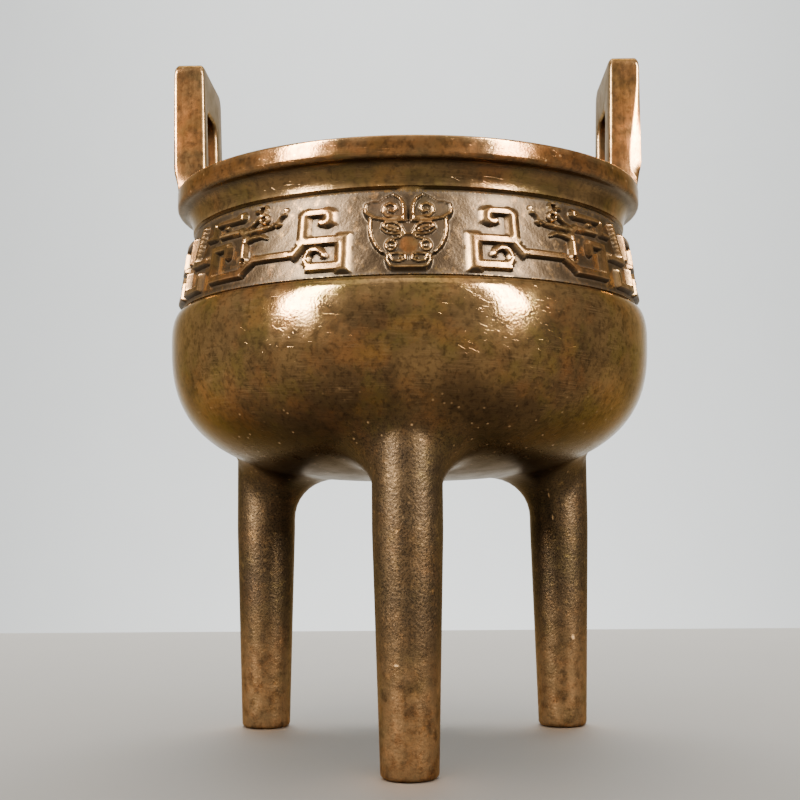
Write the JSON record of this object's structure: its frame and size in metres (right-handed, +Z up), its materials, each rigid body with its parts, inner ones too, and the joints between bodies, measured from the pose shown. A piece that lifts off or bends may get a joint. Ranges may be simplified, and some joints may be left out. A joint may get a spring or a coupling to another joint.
{
  "type": "tripod censer",
  "caption": "Cast bronze tripod censer: a hollow round bowl on straight legs, with a moulded rim, upright slotted ears and a relief frieze of beast masks and angular dragons.",
  "frame": {"origin": "on the bowl's axis, at the level of the undersides of the feet", "axes": "+Z up along the bowl's axis, -Y towards the front leg and the front mask, the ears at +X and -X"},
  "size_m": [0.1172, 0.1172, 0.1666],
  "materials": {
    "bronze": "brown patinated cast bronze, rubbed bright on edges"
  },
  "bodies": {
    "root": {"censer": "bronze"}
  },
  "joints": []
}
